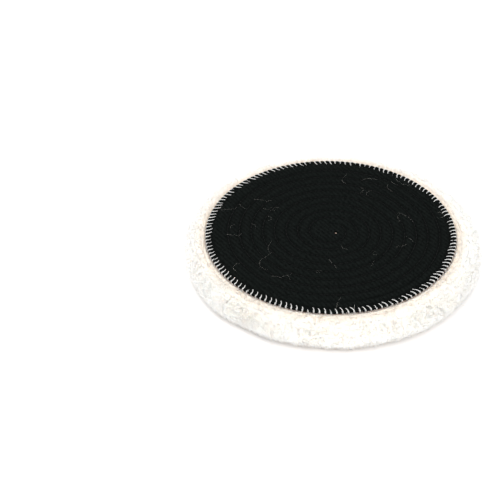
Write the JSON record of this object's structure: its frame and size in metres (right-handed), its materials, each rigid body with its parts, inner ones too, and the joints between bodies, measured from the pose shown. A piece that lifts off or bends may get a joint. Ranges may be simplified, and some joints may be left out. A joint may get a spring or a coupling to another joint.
{
  "type": "polishing pad",
  "caption": "Round lambswool polishing pad with a hook-and-loop backing, a quilted spiral seam, an overlocked edge and a small centring hole.",
  "frame": {"origin": "centre of the working face, on the surface that the wool rests on", "axes": "+Z along the pad's axis, from the wool working face up to the loop face; +X and +Y level"},
  "size_m": [0.18, 0.18, 0.0185],
  "materials": {
    "lambswool": "clipped lambswool fleece, cream white",
    "hide": "tanned sheepskin, bare flesh side",
    "foam": "soft polyurethane foam",
    "loop_fabric": "black napped loop knit",
    "black_thread": "black polyester sewing thread",
    "white_thread": "white polyester overlock thread"
  },
  "bodies": {
    "root": {"wool_pile": "lambswool", "sheepskin_hide": "hide", "foam_interlining": "foam", "loop_backing": "loop_fabric", "spiral_needle_thread": "black_thread", "spiral_bobbin_thread": "black_thread", "edging_upper_looper_thread": "white_thread", "edging_lower_looper_thread": "white_thread", "edging_needle_thread": "white_thread"}
  },
  "joints": []
}
